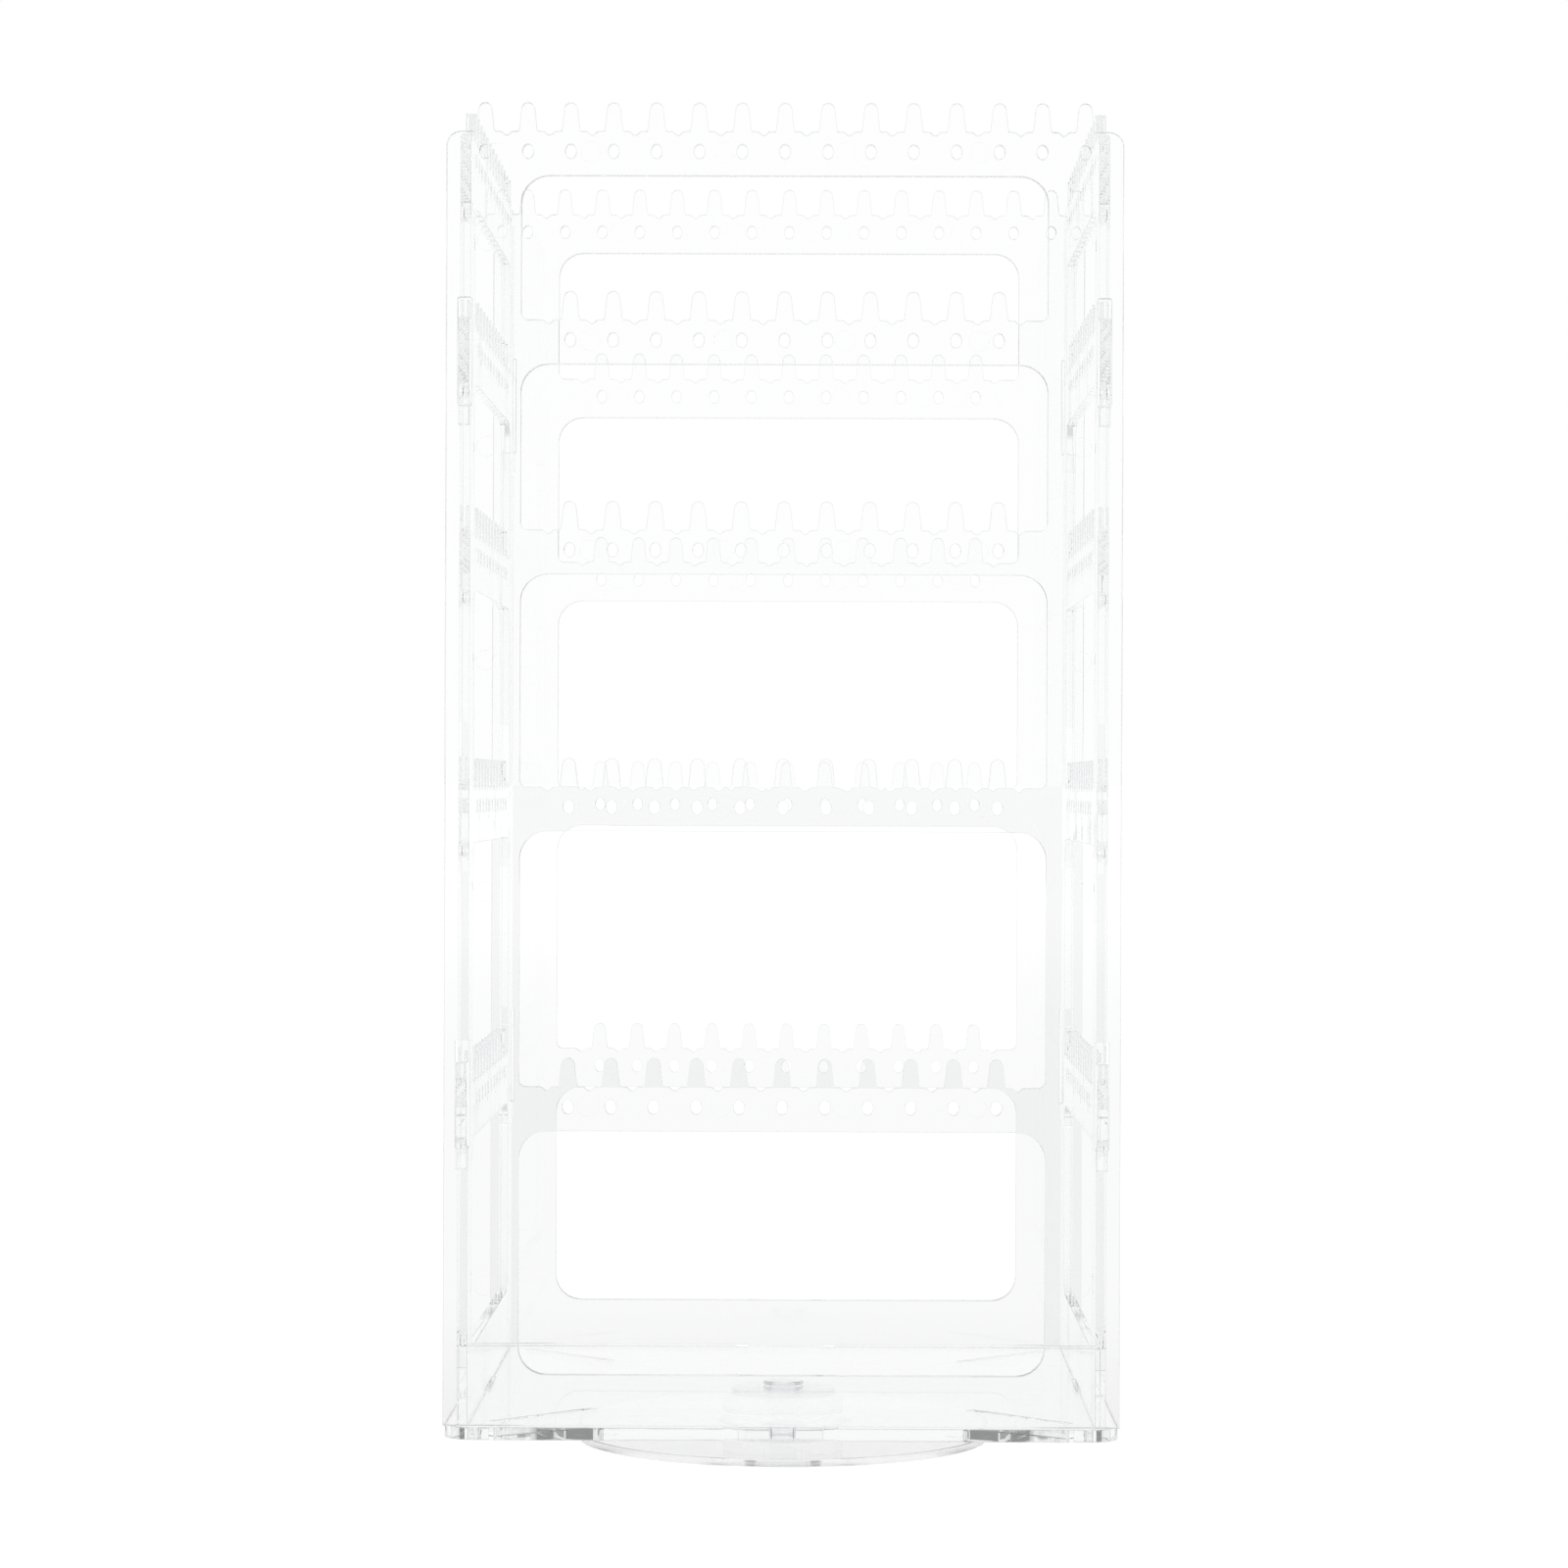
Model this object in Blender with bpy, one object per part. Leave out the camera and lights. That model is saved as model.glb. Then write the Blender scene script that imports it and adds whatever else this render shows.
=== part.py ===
"""Clear revolving display tower for earrings, chains and small carded goods.

Four flat ladder panels stand on a square base plate and make an open-topped tower.
Each panel has five comb rails: a row of pegs along the rail's upper edge, and a small
oval hole under each peg. The two side panels hook through slots in the front and back
panels, and a tab under each panel drops into the base plate. The base plate turns on a
round foot, about a pivot pin with a slip washer under it and a push-on ring below.

The frame: X to the right, the front panel faces -Y, Z up, and the origin is on the
surface that the foot rests on, on the axis that the tower turns about.
"""
import math

import bmesh
import bpy

MM = 0.001

# Fits.
GAP = 0.3 * MM                      # left between pieces that touch

# The tower's footprint and its flat mouldings.
TOWER_WIDTH = 158.0 * MM            # across each panel, and across the base plate
PANEL_THICKNESS = 2.5 * MM
BASE_THICKNESS = 3.0 * MM
BASE_CORNER = 7.0 * MM
BASE_BOTTOM = 10.2 * MM             # height of the base plate above the table
BASE_TOP = BASE_BOTTOM + BASE_THICKNESS

# Heights of the comb rails' shoulders above the base plate's underside, top rail first.
SHOULDERS = [305.5 * MM, 261.5 * MM, 212.5 * MM, 152.5 * MM, 82.5 * MM]

# Pegs and holes.
PITCH = 10.0 * MM
PEG_HEIGHT = 6.7 * MM
PEG_FOOT = 4.2 * MM
PEG_NECK = 3.2 * MM                 # width where the round tip starts
PEG_TIP = 1.5 * MM                  # height of the round tip
HOLE_WIDTH = 2.5 * MM
HOLE_HEIGHT = 3.3 * MM
HOLE_DROP = 4.7 * MM                # from the shoulder down to the hole's centre
PEGS_LOWER_ROWS = 11
PEGS_TOP_FRONT = 15
PEGS_TOP_SIDE = 13

# Windows between the rails.
STILE = 17.6 * MM                   # solid strip at each side of a front or back panel
WINDOW_HALF = TOWER_WIDTH / 2 - STILE
WINDOW_CORNER = 6.5 * MM
COMB_CORNER = 1.5 * MM
PANEL_CORNER = 3.4 * MM
RAIL_FRONT = [10.4 * MM] * 5        # rail height below the shoulder, top rail first
RAIL_SIDE = [15.8 * MM] + [13.5 * MM] * 4
SILL_FRONT = 15.3 * MM              # lower edge of the lowest window, above the underside
SILL_SIDE = 19.6 * MM

# Side panels stand inside the front and back panels and hook through their slots.
SIDE_CENTRE = 74.6 * MM
SLOT_WIDTH = 3.3 * MM
SLOT_HEIGHT = 25.2 * MM
SLOT_BOTTOMS = [241.5 * MM, 68.1 * MM]
HOOK_NECK = 20.0 * MM               # height of the part of a hook inside its slot
HOOK_LIP = 2.7 * MM                 # thickness of the lip outside the panel
HOOK_DROP = 4.8 * MM                # how far the lip hangs below the slot
HOOK_CHAMFER = 0.8 * MM

# Tabs under the panels, and where they drop into the base plate.
TAB_WIDTH = 20.0 * MM
TAB_SLOT = 26.3 * MM
NOTCH_DEPTH = PANEL_THICKNESS + GAP

# Slots across the base plate's corners, along its diagonals.
CORNER_SLOT_WIDTH = 2.5 * MM
CORNER_SLOT_START = 64.0 * MM       # distances from the turning axis
CORNER_SLOT_END = 96.0 * MM

# The turntable.
FOOT_RADIUS = 51.0 * MM
FOOT_RIM = 1.9 * MM
FOOT_EDGE = 0.5 * MM                # chamfer round the rim
HUB_RADIUS = 15.0 * MM
HUB_FILLET = 2.0 * MM
WASHER_RADIUS = 13.0 * MM
WASHER_THICKNESS = 0.5 * MM
SHANK_RADIUS = 3.0 * MM
BORE_RADIUS = SHANK_RADIUS + GAP
HEAD_RADIUS = 5.0 * MM
HEAD_HEIGHT = 0.8 * MM
HEAD_CHAMFER = 0.3 * MM
RECESS_RADIUS = 7.0 * MM            # under the hub, for the ring
RECESS_DEPTH = 2.0 * MM
RING_RADIUS = 6.2 * MM
RING_THICKNESS = 0.8 * MM
SHANK_END = 0.5 * MM                # height of the shank's lower end
WASHER_BOTTOM = BASE_BOTTOM - GAP - WASHER_THICKNESS
HUB_TOP = WASHER_BOTTOM - GAP

# Segments of the round shapes.
ARC_STEPS = 3
DISC_STEPS = 48
SMALL_STEPS = 24
SMOOTH_ANGLE = math.radians(35)

CLEAR = (0.93, 0.96, 0.97)
TRANSMISSION = 0.95
REFRACTION = 1.49


def clear_scene():
    for old in list(bpy.data.objects):
        bpy.data.objects.remove(old, do_unlink=True)


def clear_plastic(name, roughness):
    material = bpy.data.materials.new(name)
    material.use_nodes = True
    shader = material.node_tree.nodes["Principled BSDF"]
    shader.inputs["Base Color"].default_value = (*CLEAR, 1.0)
    shader.inputs["Roughness"].default_value = roughness
    shader.inputs["Transmission Weight"].default_value = TRANSMISSION
    shader.inputs["IOR"].default_value = REFRACTION
    return material


def arc(centre, radius, start_deg, end_deg, steps=ARC_STEPS):
    """Points on an arc, both ends included."""
    points = []
    for step in range(steps + 1):
        angle = math.radians(start_deg + (end_deg - start_deg) * step / steps)
        points.append((centre[0] + radius * math.cos(angle), centre[1] + radius * math.sin(angle)))
    return points


def oval(centre, width, height, steps=6):
    """A small oval with a point at its top and bottom."""
    points = []
    for step in range(steps):
        angle = math.tau * step / steps
        points.append((centre[0] + width / 2 * math.sin(angle), centre[1] + height / 2 * math.cos(angle)))
    return points


def rectangle(centre, width, height):
    left, right = centre[0] - width / 2, centre[0] + width / 2
    low, high = centre[1] - height / 2, centre[1] + height / 2
    return [(left, low), (right, low), (right, high), (left, high)]


def turned_by(points, angle_deg):
    cosine, sine = math.cos(math.radians(angle_deg)), math.sin(math.radians(angle_deg))
    return [(x * cosine - y * sine, x * sine + y * cosine) for x, y in points]


def peg_places(count):
    return [(index - (count - 1) / 2) * PITCH for index in range(count)]


def comb(count, shoulder):
    """The upper edge of a rail from left to right: pegs with tapered sides and round tips."""
    points = []
    top = shoulder + PEG_HEIGHT
    for place in peg_places(count):
        points += [
            (place - PEG_FOOT / 2, shoulder),
            (place - PEG_NECK / 2, top - PEG_TIP),
            (place - PEG_NECK / 4, top),
            (place + PEG_NECK / 4, top),
            (place + PEG_NECK / 2, top - PEG_TIP),
            (place + PEG_FOOT / 2, shoulder),
        ]
    return points


def window(low, high, corner_low, comb_points=()):
    """A window with round corners, whose lower edge may be the comb of the rail below."""
    half = WINDOW_HALF
    points = arc((-half + corner_low, low + corner_low), corner_low, 180, 270)
    points += list(comb_points)
    points += arc((half - corner_low, low + corner_low), corner_low, 270, 360)
    points += arc((half - WINDOW_CORNER, high - WINDOW_CORNER), WINDOW_CORNER, 0, 90)
    points += arc((-half + WINDOW_CORNER, high - WINDOW_CORNER), WINDOW_CORNER, 90, 180)
    return points


def hook(edge, slot_bottom):
    """The right-hand hook of a side panel, from its lower end up."""
    neck_low = slot_bottom + GAP
    neck_high = neck_low + HOOK_NECK
    face = TOWER_WIDTH / 2 + GAP
    tip = face + HOOK_LIP
    lip_low = slot_bottom - HOOK_DROP
    return [
        (edge, neck_low),
        (face, neck_low),
        (face, lip_low),
        (tip - HOOK_CHAMFER, lip_low),
        (tip, lip_low + HOOK_CHAMFER),
        (tip, neck_high - HOOK_CHAMFER),
        (tip - HOOK_CHAMFER, neck_high),
        (edge, neck_high),
    ]


def panel_outline(half_width, top_pegs, hooked):
    """The outside of a panel, anticlockwise from its tab."""
    foot = BASE_THICKNESS + GAP
    shoulder = SHOULDERS[0]
    right = [(TAB_WIDTH / 2, GAP), (TAB_WIDTH / 2, foot), (half_width, foot)]
    if hooked:
        for slot_bottom in sorted(SLOT_BOTTOMS):
            right += hook(half_width, slot_bottom)
    right += arc((half_width - PANEL_CORNER, shoulder - PANEL_CORNER), PANEL_CORNER, 0, 90)
    left = [(-x, y) for x, y in reversed(right)]
    crown = list(reversed(comb(top_pegs, shoulder)))
    return right + crown + left


def flat_moulding(name, loops, thickness, material):
    """A flat plate: its first loop is the outside, and the others are cut out of it."""
    curve = bpy.data.curves.new(name, "CURVE")
    curve.dimensions = "2D"
    curve.fill_mode = "BOTH"
    curve.extrude = thickness / 2
    for loop in loops:
        spline = curve.splines.new("POLY")
        spline.points.add(len(loop) - 1)
        for point, (x, y) in zip(spline.points, loop):
            point.co = (x, y, 0.0, 1.0)
        spline.use_cyclic_u = True
    curve.materials.append(material)
    plate = bpy.data.objects.new(name, curve)
    bpy.context.collection.objects.link(plate)
    return plate


def ladder_panel(name, half_width, top_pegs, rails, sill, hooked):
    """One panel of the tower, flat in XY, with its heights above the base plate's underside as Y."""
    loops = [panel_outline(half_width, top_pegs, hooked)]
    for row, shoulder in enumerate(SHOULDERS):
        high = shoulder - rails[row]
        if row + 1 < len(SHOULDERS):
            low = SHOULDERS[row + 1]
            loops.append(window(low, high, COMB_CORNER, comb(PEGS_LOWER_ROWS, low)))
        else:
            loops.append(window(sill, high, WINDOW_CORNER))
        pegs = PEGS_LOWER_ROWS if row else top_pegs
        for place in peg_places(pegs):
            loops.append(oval((place, shoulder - HOLE_DROP), HOLE_WIDTH, HOLE_HEIGHT))
    if not hooked:
        for side in (-1, 1):
            for bottom in SLOT_BOTTOMS:
                centre = (side * SIDE_CENTRE, bottom + SLOT_HEIGHT / 2)
                loops.append(rectangle(centre, SLOT_WIDTH, SLOT_HEIGHT))
    return flat_moulding(name, loops, PANEL_THICKNESS, clear_plastic(name + "_clear", 0.04))


def stand_up(panel, place, faces_side):
    """Turns a flat panel upright: its X runs along the tower's X, or along Y on a side panel."""
    panel.location = (*place, BASE_BOTTOM)
    panel.rotation_euler = (math.pi / 2, 0.0, math.pi / 2 if faces_side else 0.0)


def base_outline():
    """The base plate, anticlockwise from the middle of its front edge, with a notch at front and back."""
    half = TOWER_WIDTH / 2
    inner = half - BASE_CORNER
    front = [(TAB_SLOT / 2, -half + NOTCH_DEPTH), (TAB_SLOT / 2, -half)]
    front += arc((inner, -inner), BASE_CORNER, 270, 360)
    back = [(x, -y) for x, y in reversed(front)]
    return front + back + turned_by(front + back, 180)


def base_plate():
    loops = [base_outline()]
    for side in (-1, 1):
        loops.append(rectangle((side * SIDE_CENTRE, 0.0), SLOT_WIDTH, TAB_SLOT))
    slot_middle = (CORNER_SLOT_START + CORNER_SLOT_END) / 2
    corner_slot = rectangle((slot_middle, 0.0), CORNER_SLOT_END - CORNER_SLOT_START, CORNER_SLOT_WIDTH)
    for quarter in range(4):
        loops.append(turned_by(corner_slot, 45 + 90 * quarter))
    loops.append(arc((0.0, 0.0), BORE_RADIUS, 0, 360, SMALL_STEPS)[:-1])
    plate = flat_moulding("base_plate", loops, BASE_THICKNESS, clear_plastic("base_plate_clear", 0.05))
    plate.location.z = BASE_BOTTOM + BASE_THICKNESS / 2
    return plate


def turned_piece(name, profile, steps, material, closed):
    """A solid of revolution about Z, from (radius, height) points; an open profile ends on the axis."""
    mesh = bpy.data.meshes.new(name)
    shape = bmesh.new()
    points = [shape.verts.new((radius, 0.0, height)) for radius, height in profile]
    edges = [shape.edges.new(pair) for pair in zip(points, points[1:])]
    if closed:
        edges.append(shape.edges.new((points[-1], points[0])))
    bmesh.ops.spin(shape, geom=points + edges, cent=(0, 0, 0), axis=(0, 0, 1), angle=math.tau, steps=steps)
    bmesh.ops.remove_doubles(shape, verts=shape.verts, dist=1e-6)
    bmesh.ops.recalc_face_normals(shape, faces=shape.faces)
    shape.to_mesh(mesh)
    shape.free()
    mesh.materials.append(material)
    mesh.shade_smooth()
    mesh.set_sharp_from_angle(angle=SMOOTH_ANGLE)
    piece = bpy.data.objects.new(name, mesh)
    bpy.context.collection.objects.link(piece)
    return piece


def turntable_foot():
    """A thin disc with a hub in its middle, bored for the pin and recessed below for the ring."""
    profile = [
        (BORE_RADIUS, RECESS_DEPTH),
        (RECESS_RADIUS, RECESS_DEPTH),
        (RECESS_RADIUS, 0.0),
        (FOOT_RADIUS - FOOT_EDGE, 0.0),
        (FOOT_RADIUS, FOOT_EDGE),
        (FOOT_RADIUS, FOOT_RIM - FOOT_EDGE),
        (FOOT_RADIUS - FOOT_EDGE, FOOT_RIM),
        (HUB_RADIUS + HUB_FILLET, FOOT_RIM),
        (HUB_RADIUS, FOOT_RIM + HUB_FILLET),
        (HUB_RADIUS, HUB_TOP),
        (BORE_RADIUS, HUB_TOP),
    ]
    material = clear_plastic("turntable_foot_clear", 0.05)
    return turned_piece("turntable_foot", profile, DISC_STEPS, material, closed=True)


def slip_washer():
    """A thin flat washer between the hub and the base plate."""
    profile = rectangle(((BORE_RADIUS + WASHER_RADIUS) / 2, WASHER_BOTTOM + WASHER_THICKNESS / 2),
                        WASHER_RADIUS - BORE_RADIUS, WASHER_THICKNESS)
    material = clear_plastic("slip_washer_clear", 0.15)
    return turned_piece("slip_washer", profile, SMALL_STEPS, material, closed=True)


def pivot_pin():
    """A flat-headed pin through the base plate and the hub."""
    under_head = BASE_TOP + GAP
    head_top = under_head + HEAD_HEIGHT
    profile = [
        (0.0, SHANK_END),
        (SHANK_RADIUS, SHANK_END),
        (SHANK_RADIUS, under_head),
        (HEAD_RADIUS, under_head),
        (HEAD_RADIUS, head_top - HEAD_CHAMFER),
        (HEAD_RADIUS - HEAD_CHAMFER, head_top),
        (0.0, head_top),
    ]
    material = clear_plastic("pivot_pin_clear", 0.08)
    return turned_piece("pivot_pin", profile, SMALL_STEPS, material, closed=False)


def retaining_ring():
    """A push-on ring round the shank, in the recess under the hub."""
    profile = rectangle(((BORE_RADIUS + RING_RADIUS) / 2, RECESS_DEPTH - GAP - RING_THICKNESS / 2),
                        RING_RADIUS - BORE_RADIUS, RING_THICKNESS)
    material = clear_plastic("retaining_ring_clear", 0.1)
    return turned_piece("retaining_ring", profile, SMALL_STEPS, material, closed=True)


def tower():
    """Everything that turns, parented to an empty on the turning axis."""
    axis = bpy.data.objects.new("tower_spin_axis", None)
    bpy.context.collection.objects.link(axis)
    half = TOWER_WIDTH / 2
    face_centre = half - PANEL_THICKNESS / 2
    side_half = half - PANEL_THICKNESS - GAP
    pieces = [base_plate()]
    for name, side in (("front_panel", -1), ("back_panel", 1)):
        panel = ladder_panel(name, half, PEGS_TOP_FRONT, RAIL_FRONT, SILL_FRONT, hooked=False)
        stand_up(panel, (0.0, side * face_centre), faces_side=False)
        pieces.append(panel)
    for name, side in (("left_panel", -1), ("right_panel", 1)):
        panel = ladder_panel(name, side_half, PEGS_TOP_SIDE, RAIL_SIDE, SILL_SIDE, hooked=True)
        stand_up(panel, (side * SIDE_CENTRE, 0.0), faces_side=True)
        pieces.append(panel)
    for piece in pieces:
        piece.parent = axis


def main():
    clear_scene()
    tower()
    turntable_foot()
    slip_washer()
    pivot_pin()
    retaining_ring()


main()
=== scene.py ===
"""Looks of the clear revolving display tower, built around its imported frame.

Every piece is a clear moulding, rebuilt here with its fine shape: rounded arrises, round
peg tips, smooth chain notches between the pegs, oval holes and the shallow rings that
ejector pins leave. Lengths are in metres, and places come from the CAD nodes' boxes.
"""
import math

import bmesh
import bpy
from mathutils import Matrix, Vector
from mathutils.geometry import tessellate_polygon


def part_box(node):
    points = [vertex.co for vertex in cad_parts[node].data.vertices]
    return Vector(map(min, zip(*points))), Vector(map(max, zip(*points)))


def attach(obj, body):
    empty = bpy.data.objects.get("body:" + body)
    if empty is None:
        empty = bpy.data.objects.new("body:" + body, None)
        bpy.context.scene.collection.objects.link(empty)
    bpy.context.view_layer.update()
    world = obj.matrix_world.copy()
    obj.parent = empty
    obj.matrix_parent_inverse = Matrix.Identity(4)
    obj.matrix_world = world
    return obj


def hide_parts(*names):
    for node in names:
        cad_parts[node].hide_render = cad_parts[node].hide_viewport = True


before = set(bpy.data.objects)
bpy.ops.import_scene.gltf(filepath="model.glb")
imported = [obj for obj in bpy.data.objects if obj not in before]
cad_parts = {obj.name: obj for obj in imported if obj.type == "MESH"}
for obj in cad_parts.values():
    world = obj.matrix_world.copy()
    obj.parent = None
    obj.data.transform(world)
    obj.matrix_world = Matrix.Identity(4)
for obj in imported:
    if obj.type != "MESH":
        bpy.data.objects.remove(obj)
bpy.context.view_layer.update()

MM = 0.001

# Rails, from the top one down: heights of their shoulders above the base plate's underside.
SHOULDERS = [305.5 * MM, 261.5 * MM, 212.5 * MM, 152.5 * MM, 82.5 * MM]
RAIL_FRONT = [10.4 * MM] * 5
RAIL_SIDE = [15.8 * MM] + [13.5 * MM] * 4
SILL_FRONT = 15.3 * MM
SILL_SIDE = 19.6 * MM

# Pegs, the notches between them and the holes below them.
PITCH = 10.0 * MM
PEG_HEIGHT = 6.7 * MM
PEG_FOOT_HALF = 2.12 * MM
PEG_TIP_RADIUS = 1.6 * MM
PEG_FILLET = 0.45 * MM
NOTCH_HALF = 1.5 * MM
NOTCH_DEPTH = 0.9 * MM
HOLE_WIDTH = 2.5 * MM
HOLE_HEIGHT = 3.3 * MM
HOLE_DROP = 4.7 * MM
PEGS_LOWER_ROWS = 11
PEGS_TOP_FRONT = 15
PEGS_TOP_SIDE = 13

# Windows, corners and arrises.
WINDOW_HALF = 61.4 * MM
WINDOW_CORNER = 6.5 * MM
COMB_CORNER = 1.5 * MM
PANEL_CORNER = 3.4 * MM
SLOT_CORNER = 0.4 * MM
ARRIS = 0.15 * MM                   # radius of a moulding's rounded edge
ARRIS_STEPS = 3

# The hooks of the side panels, and the slots in the front and back panels.
SIDE_CENTRE = 74.6 * MM
SLOT_WIDTH = 3.3 * MM
SLOT_HEIGHT = 25.2 * MM
SLOT_BOTTOMS = [68.1 * MM, 241.5 * MM]
GAP = 0.3 * MM
HOOK_NECK = 20.0 * MM
HOOK_DROP = 4.8 * MM
HOOK_CORNER = 0.7 * MM

# Tabs and the base plate.
TAB_WIDTH = 20.0 * MM
TAB_SLOT = 26.3 * MM
TAB_NOTCH = 2.8 * MM
BASE_CORNER = 7.0 * MM
CORNER_SLOT_WIDTH = 2.5 * MM
CORNER_SLOT_START = 64.0 * MM
CORNER_SLOT_END = 96.0 * MM

# Rings left by ejector pins.
MARK_RADIUS = 2.4 * MM
MARK_DEPTH = 0.04 * MM
MARK_SLOPE = 0.08 * MM
MARK_STEPS = 28
MARK_CLEARANCE = 0.1 * MM
RAIL_MARKS = (-45.4 * MM, -14.2 * MM, 14.2 * MM, 45.4 * MM)
STILE_MARKS = (36.0 * MM, 128.0 * MM, 182.0 * MM, 232.0 * MM, 280.0 * MM)
STILE_MARK_INSET = 9.5 * MM
TALL_RAIL = 12.0 * MM               # on rails taller than this, the marks sit lower
TALL_RAIL_DROP = 0.8 * MM
BASE_MARK_PITCH = 42.0 * MM

# The turntable's hub, bore, recess and pin.
HUB_RADIUS = 15.0 * MM
HUB_FILLET = 2.0 * MM
BORE_RADIUS = 3.3 * MM
RECESS_RADIUS = 7.0 * MM
RECESS_DEPTH = 2.0 * MM
SHANK_RADIUS = 3.0 * MM
HEAD_ROUNDING = 0.5 * MM
WASHER_ROUNDING = 0.1 * MM
RING_ROUNDING = 0.12 * MM
FOOT_RIM = 1.9 * MM
LATHE_STEPS = 128
WASHER_STEPS = 96
SMALL_LATHE_STEPS = 64
SHARP_ANGLE = math.radians(35)

# Clear plastic: what passes through a face, a painted shade on the rounded edges standing in for the dark
# lines that light draws on clear edges, and what passes along the inside.
BODY_COLOUR = (0.985, 0.987, 0.988)
PAINTED_EDGE_SHADE = (0.83, 0.84, 0.85)
FOOT_COLOUR = (0.995, 0.996, 0.997)
VOLUME_COLOUR = (0.70, 0.72, 0.73)
VOLUME_DENSITY = 0.8
REFRACTION = 1.49
SPECK_SCALE = 900.0                 # of the haze, in specks per metre
FLOW_SCALE = 55.0                   # of the ripples, in ripples per metre
FLOW_STRETCH = (1.0, 1.0, 0.35)
CLEAR_HAZE, PIN_HAZE, FOOT_HAZE, RING_HAZE, WASHER_HAZE = 0.02, 0.03, 0.10, 0.10, 0.15
PLATE_RIPPLE, PIN_RIPPLE, RING_RIPPLE = 0.02 * MM, 0.01 * MM, 0.005 * MM

# Brightness of the studio's flags and of its camera side, beside white walls of 1.
CEILING = 0.70
CORNER_FLAGS = 0.05
ROOM_DARK = 0.26

# Where the flags lie: by the height of a direction, how squarely it meets a wall, and how far
# it points to the back.
CEILING_EDGE = (0.26, 0.45)
CORNER_EDGE = (0.60, 0.85)
BACK_EDGE = (0.60, 0.85)

# Which light sees them, by how many surfaces it crosses and how often it turns inside a piece.
SHALLOW_CROSSINGS = 2.5
SHALLOW_LOSS = 0.85
DEEP_CROSSINGS = 5.5
UNTURNED = 0.5
GUIDED_TURNS = 4.5

# The floor's glow: under the tower (dimmer there, a painted shadow), beside it, how much it rises far
# away, and straight on.
FLOOR_SHADE = 0.79
FLOOR_GLOW = 0.83
FLOOR_RISE = 0.065
FLOOR_WHITE = 0.97
FLOOR_BASE = 0.15
SHADE_REACH = (0.10, 0.35)          # distances from the tower's axis, in metres
RISE_REACH = (0.5, 5.0)
FLOOR_HALF = 400.0
FLOOR_DROP = 0.3 * MM               # the floor lies just clear of the foot's underside
LIGHT_BOUNCES = 40                  # light runs a long way inside a clear plate's edge

# Camera: where it stands from the middle of the tower, and how it looks.
CAMERA_PLACE = (8.0 * MM, -1138.0 * MM, 163.5 * MM)
CAMERA_YAW = math.radians(0.42)
CAMERA_ROLL = math.radians(0.2)
CAMERA_LENS = 104.3                 # in millimetres, on a 36 mm sensor


# ---------------------------------------------------------------- outlines

def arc(centre, radius, start_deg, end_deg, steps):
    """Points on an arc, both ends included."""
    points = []
    for step in range(steps + 1):
        angle = math.radians(start_deg + (end_deg - start_deg) * step / steps)
        points.append((centre[0] + radius * math.cos(angle), centre[1] + radius * math.sin(angle)))
    return points


def oval(centre, width, height, steps):
    points = []
    for step in range(steps):
        angle = math.tau * step / steps
        points.append((centre[0] + width / 2 * math.cos(angle), centre[1] + height / 2 * math.sin(angle)))
    return points


def round_rectangle(centre, width, height, corner, steps=3):
    x, y = width / 2 - corner, height / 2 - corner
    points = []
    for quarter, (dx, dy) in enumerate(((x, y), (-x, y), (-x, -y), (x, -y))):
        start = 90 * quarter
        points += arc((centre[0] + dx, centre[1] + dy), corner, start, start + 90, steps)
    return points


def turned_by(points, angle_deg):
    cosine, sine = math.cos(math.radians(angle_deg)), math.sin(math.radians(angle_deg))
    return [(x * cosine - y * sine, x * sine + y * cosine) for x, y in points]


def places(count):
    return [(index - (count - 1) / 2) * PITCH for index in range(count)]


def peg(place, shoulder):
    """One peg from left to right: small fillets at its foot, tapered sides and a round tip."""
    tip_centre = PEG_HEIGHT - PEG_TIP_RADIUS
    taper = math.degrees(math.atan2(PEG_FOOT_HALF - PEG_TIP_RADIUS, tip_centre))
    half = PEG_FOOT_HALF + PEG_FILLET
    points = arc((place - half, shoulder + PEG_FILLET), PEG_FILLET, 270, 360 - taper, 3)
    points += arc((place, shoulder + tip_centre), PEG_TIP_RADIUS, 180 - taper, taper, 12)
    points += arc((place + half, shoulder + PEG_FILLET), PEG_FILLET, 180 + taper, 270, 3)
    return points


def chain_notch(place, shoulder):
    """A smooth dip in the shoulder, half-way between two pegs."""
    points = []
    for step in range(9):
        across = -1 + step / 4
        depth = NOTCH_DEPTH * math.cos(across * math.pi / 2) ** 2
        points.append((place + across * NOTCH_HALF, shoulder - depth))
    return points


def comb(count, shoulder, end_notches):
    """The upper edge of a rail from left to right, with a notch between neighbouring pegs."""
    points = []
    pegs = places(count)
    if end_notches:
        points += chain_notch(pegs[0] - PITCH / 2, shoulder)
    for index, place in enumerate(pegs):
        points += peg(place, shoulder)
        if end_notches or index + 1 < count:
            points += chain_notch(place + PITCH / 2, shoulder)
    return points


def window(low, high, corner_low, comb_points=()):
    """A window with round corners, whose lower edge may be the comb of the rail below."""
    half = WINDOW_HALF
    points = arc((-half + corner_low, low + corner_low), corner_low, 180, 270, 6)
    points += list(comb_points)
    points += arc((half - corner_low, low + corner_low), corner_low, 270, 360, 6)
    points += arc((half - WINDOW_CORNER, high - WINDOW_CORNER), WINDOW_CORNER, 0, 90, 10)
    points += arc((-half + WINDOW_CORNER, high - WINDOW_CORNER), WINDOW_CORNER, 90, 180, 10)
    return points


def hook(edge, face, tip, slot_bottom):
    """The right-hand hook of a side panel, from its lower end up."""
    low = slot_bottom + GAP
    high = low + HOOK_NECK
    lip_low = slot_bottom - HOOK_DROP
    corner = HOOK_CORNER
    points = [(edge, low), (face, low), (face, lip_low)]
    points += arc((tip - corner, lip_low + corner), corner, 270, 360, 4)
    points += arc((tip - corner, high - corner), corner, 0, 90, 4)
    points.append((edge, high))
    return points


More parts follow.
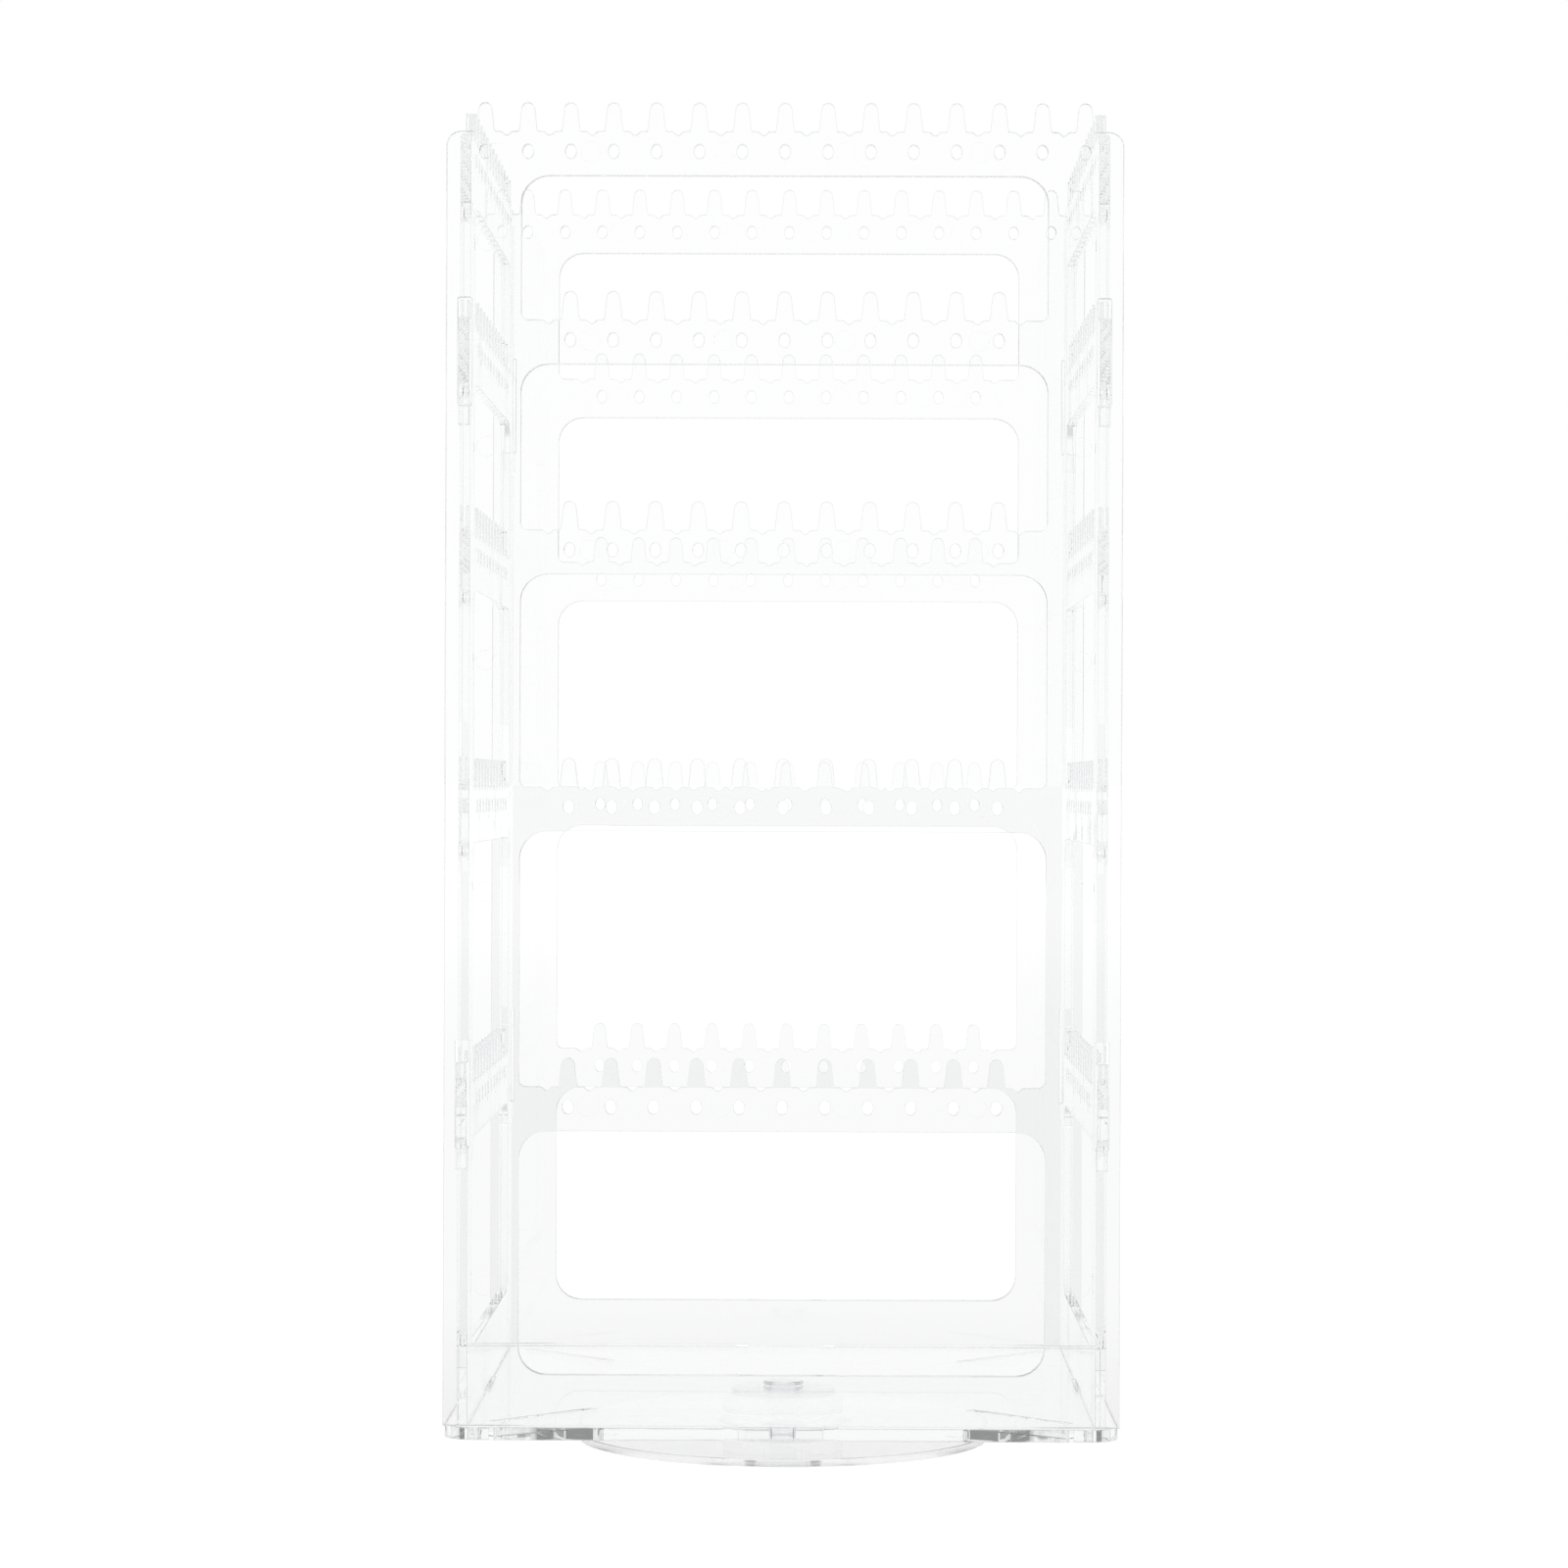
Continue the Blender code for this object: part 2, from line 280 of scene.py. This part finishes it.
def panel_outline(half_width, foot, low, top_pegs, hook_reach):
    """The outside of a panel, anticlockwise from its tab."""
    shoulder = SHOULDERS[0]
    corner = SLOT_CORNER
    right = arc((TAB_WIDTH / 2 - corner, low + corner), corner, 270, 360, 3)
    right += [(TAB_WIDTH / 2, foot), (half_width, foot)]
    if hook_reach:
        for slot_bottom in SLOT_BOTTOMS:
            right += hook(half_width, *hook_reach, slot_bottom)
    right += arc((half_width - PANEL_CORNER, shoulder - PANEL_CORNER), PANEL_CORNER, 0, 90, 10)
    left = [(-x, y) for x, y in reversed(right)]
    crown = list(reversed(comb(top_pegs, shoulder, end_notches=bool(hook_reach))))
    return right + crown + left


# ---------------------------------------------------------------- meshes

def signed_area(loop):
    return sum(a[0] * b[1] - b[0] * a[1] for a, b in zip(loop, loop[1:] + loop[:1])) / 2


def without_repeats(loop):
    kept = []
    for point in loop:
        if not kept or math.dist(point, kept[-1]) > 1e-6:
            kept.append(point)
    if math.dist(kept[0], kept[-1]) <= 1e-6:
        kept.pop()
    return kept


def inset(loop, distance):
    """The loop moved to its left, towards the material, with mitred corners."""
    moved = []
    count = len(loop)
    for index in range(count):
        here = Vector(loop[index])
        before = (here - Vector(loop[index - 1])).normalized()
        after = (Vector(loop[(index + 1) % count]) - here).normalized()
        left_before, left_after = Vector((-before.y, before.x)), Vector((-after.y, after.x))
        mitre = left_before + left_after
        mitre /= max(mitre.length_squared / 2, 0.3)
        moved.append(tuple(here + mitre * distance))
    return moved


def arris_profile(thickness, radius):
    """Inset and height of each ring of a plate's wall, from its lower face to its upper one."""
    lower = []
    for step in range(ARRIS_STEPS + 1):
        angle = math.pi / 2 * step / ARRIS_STEPS
        lower.append((radius * (1 - math.sin(angle)), -thickness / 2 + radius * (1 - math.cos(angle))))
    return lower + [(distance, -height) for distance, height in reversed(lower)]


def add_loop(shape, loop, height):
    return [shape.verts.new((x, y, height)) for x, y in loop]


def join_loops(shape, lower, upper):
    faces = []
    for index in range(len(lower)):
        after = (index + 1) % len(lower)
        faces.append(shape.faces.new((lower[index], lower[after], upper[after], upper[index])))
    return faces


def cap(shape, rings, upward):
    """Closes a face of a plate, around its cut-outs."""
    corners = [vert for ring in rings for vert in ring]
    flat = [[Vector((vert.co.x, vert.co.y, 0.0)) for vert in ring] for ring in rings]
    faces = []
    for triangle in tessellate_polygon(flat):
        verts = [corners[index] for index in triangle]
        turn = (verts[1].co - verts[0].co).cross(verts[2].co - verts[0].co).z
        if (turn > 0) != upward:
            verts.reverse()
        faces.append(shape.faces.new(verts))
    return faces


def ejector_mark(shape, place, height, upward):
    """A shallow round sink in a face: its rim, which cuts the face, is returned."""
    sink = -MARK_DEPTH if upward else MARK_DEPTH
    steps = MARK_STEPS
    rim = add_loop(shape, arc(place, MARK_RADIUS, 0, 360, steps)[:-1], height)
    floor = add_loop(shape, arc(place, MARK_RADIUS - MARK_SLOPE, 0, 360, steps)[:-1], height + sink)
    if upward:
        slope = join_loops(shape, floor[::-1], rim[::-1])
        disc = shape.faces.new(floor)
    else:
        slope = join_loops(shape, floor, rim)
        disc = shape.faces.new(floor[::-1])
    return rim[::-1], slope, disc


def moulded_plate(name, loops, thickness, marks):
    """A flat moulding with rounded edges: the first loop is its outside, the others are cut-outs."""
    shape = bmesh.new()
    edge = shape.faces.layers.float.new("edge")
    outlines = []
    for index, loop in enumerate(loops):
        loop = without_repeats(loop)
        if (signed_area(loop) > 0) != (index == 0):
            loop.reverse()
        outlines.append(loop)
    lower_rings, upper_rings, flats = [], [], []
    for loop in outlines:
        rings = [add_loop(shape, inset(loop, distance), height)
                 for distance, height in arris_profile(thickness, ARRIS)]
        for index, (lower, upper) in enumerate(zip(rings, rings[1:])):
            faces = join_loops(shape, lower, upper)
            flank = index == ARRIS_STEPS
            # Rounded-edge faces get the full painted edge shade, and the flank gets none.
            for face in faces:
                face[edge] = 0.0 if flank else 1.0
            if flank:
                flats += faces
        lower_rings.append(rings[0])
        upper_rings.append(rings[-1])
    for x, y, upward in marks:
        rim, slope, disc = ejector_mark(shape, (x, y), thickness / 2 * (1 if upward else -1), upward)
        # Mark slopes get half the painted edge shade.
        for face in slope:
            face[edge] = 0.5
        flats.append(disc)
        (upper_rings if upward else lower_rings).append(rim)
    flats += cap(shape, upper_rings, True) + cap(shape, lower_rings, False)
    finish_shading(shape, set(flats))
    return mesh_object(name, shape)


def finish_shading(shape, flats=frozenset()):
    """Smooth faces with sharp corners, and a crisp border round each face or flank."""
    shape.normal_update()
    for face in shape.faces:
        face.smooth = True
    for side in shape.edges:
        faces = side.link_faces
        bordered = sum(face in flats for face in faces) == 1
        folded = len(faces) == 2 and side.calc_face_angle() > SHARP_ANGLE
        side.smooth = not (bordered or folded)


def mesh_object(name, shape):
    mesh = bpy.data.meshes.new(name)
    shape.to_mesh(mesh)
    shape.free()
    piece = bpy.data.objects.new(name, mesh)
    bpy.context.collection.objects.link(piece)
    return piece


def turned(name, profile, steps=LATHE_STEPS):
    """A solid of revolution about Z from (radius, height, edge) points, which end on the axis or close."""
    shape = bmesh.new()
    edge = shape.faces.layers.float.new("edge")
    rings = []
    for radius, height, _ in profile:
        if radius < 1e-7:
            rings.append([shape.verts.new((0.0, 0.0, height))])
        else:
            rings.append(add_loop(shape, arc((0.0, 0.0), radius, 0, 360, steps)[:-1], height))
    closed = len(rings[0]) > 1
    pairs = list(zip(range(len(rings)), range(1, len(rings)))) + ([(len(rings) - 1, 0)] if closed else [])
    flats = set()
    for first, second in pairs:
        lower, upper = rings[first], rings[second]
        if len(lower) == 1:
            faces = [shape.faces.new((lower[0], upper[(i + 1) % steps], upper[i])) for i in range(steps)]
        elif len(upper) == 1:
            faces = [shape.faces.new((lower[i], lower[(i + 1) % steps], upper[0])) for i in range(steps)]
        else:
            faces = join_loops(shape, lower, upper)
        # Each face takes its profile point's share of painted edge shade.
        for face in faces:
            face[edge] = profile[second][2]
        steps_along = [abs(profile[first][axis] - profile[second][axis]) for axis in (0, 1)]
        if min(steps_along) < 1e-7:
            flats.update(faces)
    bmesh.ops.recalc_face_normals(shape, faces=shape.faces)
    finish_shading(shape, flats)
    return mesh_object(name, shape)


# ---------------------------------------------------------------- materials

def new_material(name):
    material = bpy.data.materials.new(name)
    material.use_nodes = True
    nodes = material.node_tree.nodes
    return material, nodes, material.node_tree.links, nodes["Principled BSDF"]


def noise(nodes, links, scale, detail, stretch=(1.0, 1.0, 1.0)):
    """Noise in the piece's own coordinates, in metres."""
    place = nodes.new("ShaderNodeTexCoord")
    mapping = nodes.new("ShaderNodeMapping")
    mapping.inputs["Scale"].default_value = stretch
    texture = nodes.new("ShaderNodeTexNoise")
    texture.inputs["Scale"].default_value = scale
    texture.inputs["Detail"].default_value = detail
    links.new(place.outputs["Object"], mapping.inputs["Vector"])
    links.new(mapping.outputs["Vector"], texture.inputs["Vector"])
    return texture


def ramp_between(nodes, links, source, low, high):
    """Maps a 0 to 1 value onto low to high."""
    span = nodes.new("ShaderNodeMapRange")
    span.inputs["To Min"].default_value = low
    span.inputs["To Max"].default_value = high
    links.new(source, span.inputs["Value"])
    return span.outputs["Result"]


def clear_plastic(name, body_colour, edge_shade_colour, haze, ripple):
    """Clear moulded plastic: faint flow ripples, fine haze and a painted shade that darkens the rounded
    edges.
    """
    material, nodes, links, shader = new_material(name)
    shader.inputs["Transmission Weight"].default_value = 1.0
    shader.inputs["IOR"].default_value = REFRACTION

    # By their edge share, rounded edges and mark slopes take a painted shade: a darker base colour
    # standing in for the dark lines that refraction draws on clear edges.
    edge = nodes.new("ShaderNodeAttribute")
    edge.attribute_name = "edge"
    edge_shade_mix = nodes.new("ShaderNodeMix")
    edge_shade_mix.data_type = "RGBA"
    edge_shade_mix.inputs["A"].default_value = (*body_colour, 1.0)
    edge_shade_mix.inputs["B"].default_value = (*edge_shade_colour, 1.0)
    links.new(edge.outputs["Fac"], edge_shade_mix.inputs["Factor"])
    links.new(edge_shade_mix.outputs["Result"], shader.inputs["Base Color"])

    specks = noise(nodes, links, SPECK_SCALE, 2.0)
    links.new(ramp_between(nodes, links, specks.outputs["Fac"], 0.0, haze), shader.inputs["Roughness"])

    flow = noise(nodes, links, FLOW_SCALE, 1.0, FLOW_STRETCH)
    bump = nodes.new("ShaderNodeBump")
    bump.inputs["Strength"].default_value = 1.0
    bump.inputs["Distance"].default_value = ripple
    links.new(flow.outputs["Fac"], bump.inputs["Height"])
    links.new(bump.outputs["Normal"], shader.inputs["Normal"])

    absorption = nodes.new("ShaderNodeVolumeAbsorption")
    absorption.inputs["Color"].default_value = (*VOLUME_COLOUR, 1.0)
    absorption.inputs["Density"].default_value = VOLUME_DENSITY
    links.new(absorption.outputs["Volume"], nodes["Material Output"].inputs["Volume"])
    return material


# ---------------------------------------------------------------- the tower's pieces

def stand(piece, node, material, body):
    """Hands a finished piece over to the frame in a CAD node's place."""
    piece.data.materials.append(material)
    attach(piece, body)
    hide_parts(node)


def bake_place(piece, matrix):
    """Moves the mesh itself, so that the piece's coordinates are the frame's."""
    piece.data.transform(matrix)


def panel_marks(rails, half_width, upward):
    """Where the ejector pins pushed a panel out: on its rails and up its stiles."""
    spots = []
    for row, shoulder in enumerate(SHOULDERS):
        height = shoulder - HOLE_DROP - (TALL_RAIL_DROP if rails[row] > TALL_RAIL else 0.0)
        for x in RAIL_MARKS:
            spots.append((x, height, upward))
    for height in STILE_MARKS:
        for side in (-1, 1):
            spots.append((side * (half_width - STILE_MARK_INSET), height, upward))
    return spots


def ladder_panel(name, material, rails, sill, top_pegs, hooked, inner_faces_up):
    low_corner, high_corner = (Vector(corner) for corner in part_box(name))
    base_low, base_high = (Vector(corner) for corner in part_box("base_plate"))
    run = 1 if hooked else 0
    across = 1 - run
    thickness = high_corner[across] - low_corner[across]
    place = (high_corner[across] + low_corner[across]) / 2
    base_thickness = base_high.z - base_low.z
    foot = base_thickness + GAP
    low = low_corner.z - base_low.z
    hook_reach = None
    half_width = high_corner[run]
    if hooked:
        hook_reach = (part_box("back_panel")[1][1] + GAP, high_corner[run])
        half_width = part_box("back_panel")[0][1] - GAP
    loops = [panel_outline(half_width, foot, low, top_pegs, hook_reach)]
    for row, shoulder in enumerate(SHOULDERS):
        high = shoulder - rails[row]
        if row + 1 < len(SHOULDERS):
            below = SHOULDERS[row + 1]
            loops.append(window(below, high, COMB_CORNER, comb(PEGS_LOWER_ROWS, below, end_notches=True)))
        else:
            loops.append(window(sill, high, WINDOW_CORNER))
        for x in places(PEGS_LOWER_ROWS if row else top_pegs):
            loops.append(oval((x, shoulder - HOLE_DROP), HOLE_WIDTH, HOLE_HEIGHT, 18))
    if not hooked:
        for side in (-1, 1):
            for bottom in SLOT_BOTTOMS:
                centre = (side * SIDE_CENTRE, bottom + SLOT_HEIGHT / 2)
                loops.append(round_rectangle(centre, SLOT_WIDTH, SLOT_HEIGHT, SLOT_CORNER))
    marks = clear_of_cuts(panel_marks(rails, half_width, inner_faces_up), loops)
    piece = moulded_plate(name + "_moulding", loops, thickness, marks)
    upright = Matrix.Rotation(math.pi / 2, 4, "X")
    if hooked:
        turned_side = Matrix.Rotation(math.pi / 2, 4, "Z") @ upright
        bake_place(piece, Matrix.Translation((place, 0.0, base_low.z)) @ turned_side)
    else:
        bake_place(piece, Matrix.Translation((0.0, place, base_low.z)) @ upright)
    stand(piece, name, material, "tower")


def clear_of_cuts(marks, loops):
    """Drops the marks that would reach a cut-out or the edge of the plate."""
    kept = []
    for x, y, upward in marks:
        nearest = min(math.dist((x, y), point) for loop in loops for point in loop)
        if nearest > MARK_RADIUS + ARRIS + MARK_CLEARANCE:
            kept.append((x, y, upward))
    return kept


def base_plate(material):
    low, high = (Vector(corner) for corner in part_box("base_plate"))
    half = high.x
    inner = half - BASE_CORNER
    front = [(TAB_SLOT / 2, -half + TAB_NOTCH), (TAB_SLOT / 2, -half)]
    front += arc((inner, -inner), BASE_CORNER, 270, 360, 12)
    back = [(x, -y) for x, y in reversed(front)]
    loops = [front + back + turned_by(front + back, 180)]
    for side in (-1, 1):
        loops.append(round_rectangle((side * SIDE_CENTRE, 0.0), SLOT_WIDTH, TAB_SLOT, SLOT_CORNER))
    middle = (CORNER_SLOT_START + CORNER_SLOT_END) / 2
    corner_slot = round_rectangle((middle, 0.0), CORNER_SLOT_END - CORNER_SLOT_START, CORNER_SLOT_WIDTH,
                                  SLOT_CORNER)
    for quarter in range(4):
        loops.append(turned_by(corner_slot, 45 + 90 * quarter))
    loops.append(arc((0.0, 0.0), BORE_RADIUS, 0, 360, 48)[:-1])
    marks = [(x * BASE_MARK_PITCH, y * BASE_MARK_PITCH, False)
             for x in (-1, 0, 1) for y in (-1, 0, 1) if x or y]
    piece = moulded_plate("base_plate_moulding", loops, high.z - low.z, marks)
    bake_place(piece, Matrix.Translation((0.0, 0.0, (high.z + low.z) / 2)))
    stand(piece, "base_plate", material, "tower")


# ---------------------------------------------------------------- the turntable's pieces

def rounded(corner, radius, start_deg, end_deg, edge=1.0, steps=4):
    """Profile points of a rounded corner, given its arc's centre; edge is their share of painted edge
    shade.
    """
    return [(x, y, edge) for x, y in arc(corner, radius, start_deg, end_deg, steps)]


def turntable_foot(material):
    low, high = (Vector(corner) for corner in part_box("turntable_foot"))
    radius, top = high.x, high.z
    small = ARRIS
    profile = [(BORE_RADIUS, RECESS_DEPTH, 0.0), (RECESS_RADIUS, RECESS_DEPTH, 0.0)]
    profile += rounded((RECESS_RADIUS + small, small), small, 180, 270)
    profile += rounded((radius - small, small), small, 270, 360)
    profile += rounded((radius - small, FOOT_RIM - small), small, 0, 90)
    profile += rounded((HUB_RADIUS + HUB_FILLET, FOOT_RIM + HUB_FILLET), HUB_FILLET, 270, 180, 0.4, 8)
    profile += rounded((HUB_RADIUS - small, top - small), small, 0, 90)
    profile += rounded((BORE_RADIUS + small, top - small), small, 90, 180)
    piece = turned("turntable_foot_moulding", profile)
    stand(piece, "turntable_foot", material, "foot")


def pivot_pin(material):
    low, high = (Vector(corner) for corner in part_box("pivot_pin"))
    head_radius, top = high.x, high.z
    under_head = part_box("base_plate")[1][2] + GAP
    small = ARRIS
    profile = [(0.0, low.z, 0.0)]
    profile += rounded((SHANK_RADIUS - small, low.z + small), small, 270, 360)
    profile += [(SHANK_RADIUS, under_head, 0.0)]
    profile += rounded((head_radius - small, under_head + small), small, 270, 360)
    rounding = HEAD_ROUNDING
    profile += rounded((head_radius - rounding, top - rounding), rounding, 0, 90)
    profile.append((0.0, top, 0.0))
    piece = turned("pivot_pin_moulding", profile, SMALL_LATHE_STEPS)
    stand(piece, "pivot_pin", material, "foot")


def rounded_ring(name, box, small, steps):
    """A flat ring round the pin, with rounded edges, that fills its CAD node's box."""
    low, high = (Vector(corner) for corner in box)
    inner, outer = BORE_RADIUS, high.x
    profile = rounded((inner + small, low.z + small), small, 180, 270)
    profile += rounded((outer - small, low.z + small), small, 270, 360)
    profile += rounded((outer - small, high.z - small), small, 0, 90)
    profile += rounded((inner + small, high.z - small), small, 90, 180)
    return turned(name, profile, steps)


def slip_washer(material):
    piece = rounded_ring("slip_washer_disc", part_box("slip_washer"), WASHER_ROUNDING, WASHER_STEPS)
    stand(piece, "slip_washer", material, "foot")


def retaining_ring(material):
    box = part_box("retaining_ring")
    piece = rounded_ring("retaining_ring_stamping", box, RING_ROUNDING, SMALL_LATHE_STEPS)
    stand(piece, "retaining_ring", material, "foot")


# ---------------------------------------------------------------- camera, light and floor

def camera():
    data = bpy.data.cameras.new("camera")
    data.lens = CAMERA_LENS
    data.sensor_width = 36.0
    data.clip_end = 1000.0
    view = bpy.data.objects.new("camera", data)
    bpy.context.collection.objects.link(view)
    view.matrix_world = (
        Matrix.Translation(CAMERA_PLACE)
        @ Matrix.Rotation(CAMERA_YAW, 4, "Z")
        @ Matrix.Rotation(math.pi / 2, 4, "X")
        @ Matrix.Rotation(CAMERA_ROLL, 4, "Z")
    )
    bpy.context.scene.camera = view


def math_node(nodes, links, operation, first, second=None):
    node = nodes.new("ShaderNodeMath")
    node.operation = operation
    for socket, value in zip(node.inputs, (first, second)):
        if isinstance(value, (int, float)):
            socket.default_value = value
        elif value is not None:
            links.new(value, socket)
    return node.outputs["Value"]


def smooth_step(nodes, links, value, low, high, below, above):
    """Eases from below to above as the value goes from low to high."""
    span = nodes.new("ShaderNodeMapRange")
    span.interpolation_type = "SMOOTHSTEP"
    span.inputs["From Min"].default_value = low
    span.inputs["From Max"].default_value = high
    span.inputs["To Min"].default_value = below
    span.inputs["To Max"].default_value = above
    links.new(value, span.inputs["Value"])
    return span.outputs["Result"]


def studio():
    """A white room with soft grey flags, overhead and in its corners, and a dark camera side.

    Light that leaves through a rounded edge sees the flags, and light that has turned many
    times inside a piece sees the dark side. That is what draws a clear object on white.
    """
    world = bpy.data.worlds.new("studio")
    bpy.context.scene.world = world
    world.use_nodes = True
    nodes, links = world.node_tree.nodes, world.node_tree.links
    background = nodes["Background"]

    place = nodes.new("ShaderNodeTexCoord")
    split = nodes.new("ShaderNodeSeparateXYZ")
    links.new(place.outputs["Generated"], split.inputs["Vector"])
    x, y, z = (split.outputs[axis] for axis in "XYZ")
    ceiling = smooth_step(nodes, links, z, *CEILING_EDGE, 1.0, CEILING)

    x_squared = math_node(nodes, links, "MULTIPLY", x, x)
    y_squared = math_node(nodes, links, "MULTIPLY", y, y)
    level_squared = math_node(nodes, links, "ADD",
                              math_node(nodes, links, "ADD", x_squared, y_squared), 1e-6)
    difference = math_node(nodes, links, "SUBTRACT", y_squared, x_squared)
    squareness = math_node(nodes, links, "ABSOLUTE",
                           math_node(nodes, links, "DIVIDE", difference, level_squared))
    corner_flags = smooth_step(nodes, links, squareness, *CORNER_EDGE, CORNER_FLAGS, 1.0)
    level = math_node(nodes, links, "SQRT", level_squared)
    towards_back = math_node(nodes, links, "DIVIDE", y, level)
    back_wall = smooth_step(nodes, links, towards_back, *BACK_EDGE, ROOM_DARK, 1.0)

    path = nodes.new("ShaderNodeLightPath")
    crossings, turns = path.outputs["Transmission Depth"], path.outputs["Glossy Depth"]
    shallow = math_node(nodes, links, "LESS_THAN", crossings, SHALLOW_CROSSINGS)
    few = math_node(nodes, links, "LESS_THAN", crossings, DEEP_CROSSINGS)
    unturned = math_node(nodes, links, "LESS_THAN", turns, UNTURNED)
    softened = math_node(nodes, links, "SUBTRACT", 1.0,
                         math_node(nodes, links, "MULTIPLY", shallow, SHALLOW_LOSS))
    share = math_node(nodes, links, "MULTIPLY", softened,
                      math_node(nodes, links, "MULTIPLY", few, unturned))
    flags = nodes.new("ShaderNodeMix")
    links.new(share, flags.inputs["Factor"])
    flags.inputs["A"].default_value = 1.0
    links.new(math_node(nodes, links, "MULTIPLY", corner_flags, ceiling), flags.inputs["B"])

    turned_often = math_node(nodes, links, "GREATER_THAN", turns, GUIDED_TURNS)
    guided = math_node(nodes, links, "MULTIPLY", turned_often, few)
    flagged = nodes.new("ShaderNodeMix")
    links.new(guided, flagged.inputs["Factor"])
    links.new(flags.outputs["Result"], flagged.inputs["A"])
    links.new(back_wall, flagged.inputs["B"])
    room = flagged.outputs["Result"]

    direct = nodes.new("ShaderNodeMix")
    links.new(path.outputs["Is Camera Ray"], direct.inputs["Factor"])
    links.new(room, direct.inputs["A"])
    direct.inputs["B"].default_value = 1.0
    links.new(direct.outputs["Result"], background.inputs["Strength"])
    background.inputs["Color"].default_value = (1.0, 1.0, 1.0, 1.0)


def floor():
    """A wide white floor that glows enough to meet the white room without a line; seen through the tower,
    its glow dims near the tower's axis as a painted shadow.
    """
    half = FLOOR_HALF
    mesh = bpy.data.meshes.new("floor")
    corners = [(-half, -half), (half, -half), (half, half), (-half, half)]
    mesh.from_pydata([(x, y, -FLOOR_DROP) for x, y in corners], [], [(0, 1, 2, 3)])
    plane = bpy.data.objects.new("floor", mesh)
    bpy.context.collection.objects.link(plane)
    material, nodes, links, shader = new_material("floor_white")
    shader.inputs["Base Color"].default_value = (FLOOR_BASE, FLOOR_BASE, FLOOR_BASE, 1.0)
    shader.inputs["Roughness"].default_value = 1.0
    shader.inputs["Specular IOR Level"].default_value = 0.0
    shader.inputs["Emission Color"].default_value = (1.0, 1.0, 1.0, 1.0)
    place = nodes.new("ShaderNodeTexCoord")
    reach = nodes.new("ShaderNodeVectorMath")
    reach.operation = "LENGTH"
    links.new(place.outputs["Object"], reach.inputs[0])
    distance = reach.outputs["Value"]
    # A painted shadow: the glow seen through the tower is dimmer near its axis and rises far away.
    glow = math_node(nodes, links, "ADD",
                     smooth_step(nodes, links, distance, *SHADE_REACH, FLOOR_SHADE, FLOOR_GLOW),
                     smooth_step(nodes, links, distance, *RISE_REACH, 0.0, FLOOR_RISE))
    path = nodes.new("ShaderNodeLightPath")
    direct = nodes.new("ShaderNodeMix")
    links.new(path.outputs["Is Camera Ray"], direct.inputs["Factor"])
    links.new(glow, direct.inputs["A"])
    direct.inputs["B"].default_value = FLOOR_WHITE
    links.new(direct.outputs["Result"], shader.inputs["Emission Strength"])
    mesh.materials.append(material)


def main():
    view_settings = bpy.context.scene.view_settings
    view_settings.view_transform = "Standard"
    light_paths = bpy.context.scene.cycles
    light_paths.max_bounces = LIGHT_BOUNCES
    light_paths.transmission_bounces = LIGHT_BOUNCES
    light_paths.glossy_bounces = LIGHT_BOUNCES
    camera()
    studio()
    floor()
    panel = clear_plastic("clear_panel", BODY_COLOUR, PAINTED_EDGE_SHADE, CLEAR_HAZE, PLATE_RIPPLE)
    base = clear_plastic("clear_base", BODY_COLOUR, PAINTED_EDGE_SHADE, CLEAR_HAZE, PLATE_RIPPLE)
    foot = clear_plastic("clear_foot", FOOT_COLOUR, FOOT_COLOUR, FOOT_HAZE, PLATE_RIPPLE)
    pin = clear_plastic("clear_pin", BODY_COLOUR, PAINTED_EDGE_SHADE, PIN_HAZE, PIN_RIPPLE)
    washer = clear_plastic("clear_washer", BODY_COLOUR, PAINTED_EDGE_SHADE, WASHER_HAZE, RING_RIPPLE)
    ring = clear_plastic("clear_ring", BODY_COLOUR, PAINTED_EDGE_SHADE, RING_HAZE, RING_RIPPLE)
    ladder_panel("front_panel", panel, RAIL_FRONT, SILL_FRONT, PEGS_TOP_FRONT, False, False)
    ladder_panel("back_panel", panel, RAIL_FRONT, SILL_FRONT, PEGS_TOP_FRONT, False, True)
    ladder_panel("left_panel", panel, RAIL_SIDE, SILL_SIDE, PEGS_TOP_SIDE, True, True)
    ladder_panel("right_panel", panel, RAIL_SIDE, SILL_SIDE, PEGS_TOP_SIDE, True, False)
    base_plate(base)
    turntable_foot(foot)
    pivot_pin(pin)
    slip_washer(washer)
    retaining_ring(ring)


main()
